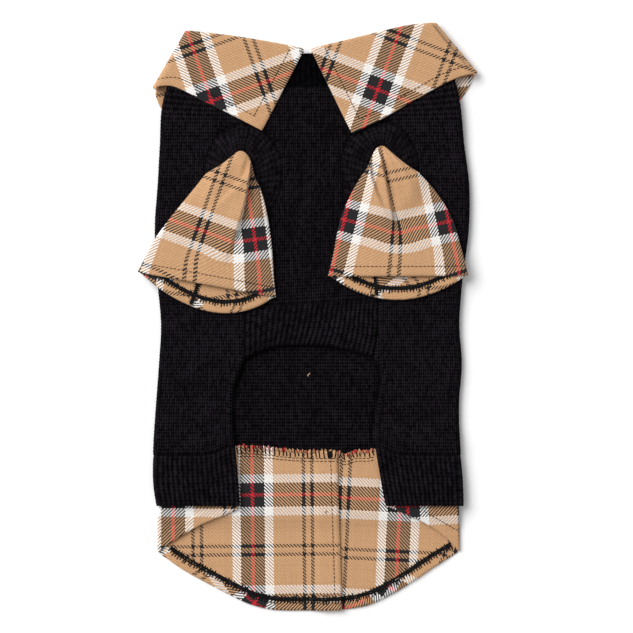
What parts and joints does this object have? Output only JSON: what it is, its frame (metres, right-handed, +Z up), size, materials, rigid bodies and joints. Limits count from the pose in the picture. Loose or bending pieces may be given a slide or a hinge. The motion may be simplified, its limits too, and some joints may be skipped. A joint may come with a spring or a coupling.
{
  "type": "dog cardigan",
  "caption": "Dog cardigan laid flat, belly side up: dark knit body with ribbed bands, check twill collar, bell sleeves and shirt tail.",
  "frame": {"origin": "on the surface that the garment lies on, under the middle of its outline", "axes": "+Y from the shirt tail to the neck, +X to the wearer's right as seen from the belly side, +Z up out of the belly side"},
  "size_m": [0.2374, 0.4112, 0.014],
  "materials": {
    "stockinette": "matt fine knit with a light fuzz",
    "rib_knit": "matt ribbed knit",
    "check_twill": "matt brushed cotton twill with a woven check"
  },
  "bodies": {
    "root": {"back_panel": "stockinette", "chest_panel": "stockinette", "neck_rib": "rib_knit", "belly_rib": "rib_knit", "hem_rib": "rib_knit", "armhole_rib_left": "rib_knit", "armhole_rib_right": "rib_knit", "collar": "check_twill", "sleeve_left": "check_twill", "sleeve_right": "check_twill", "tail_left": "check_twill", "tail_right": "check_twill"}
  },
  "joints": []
}
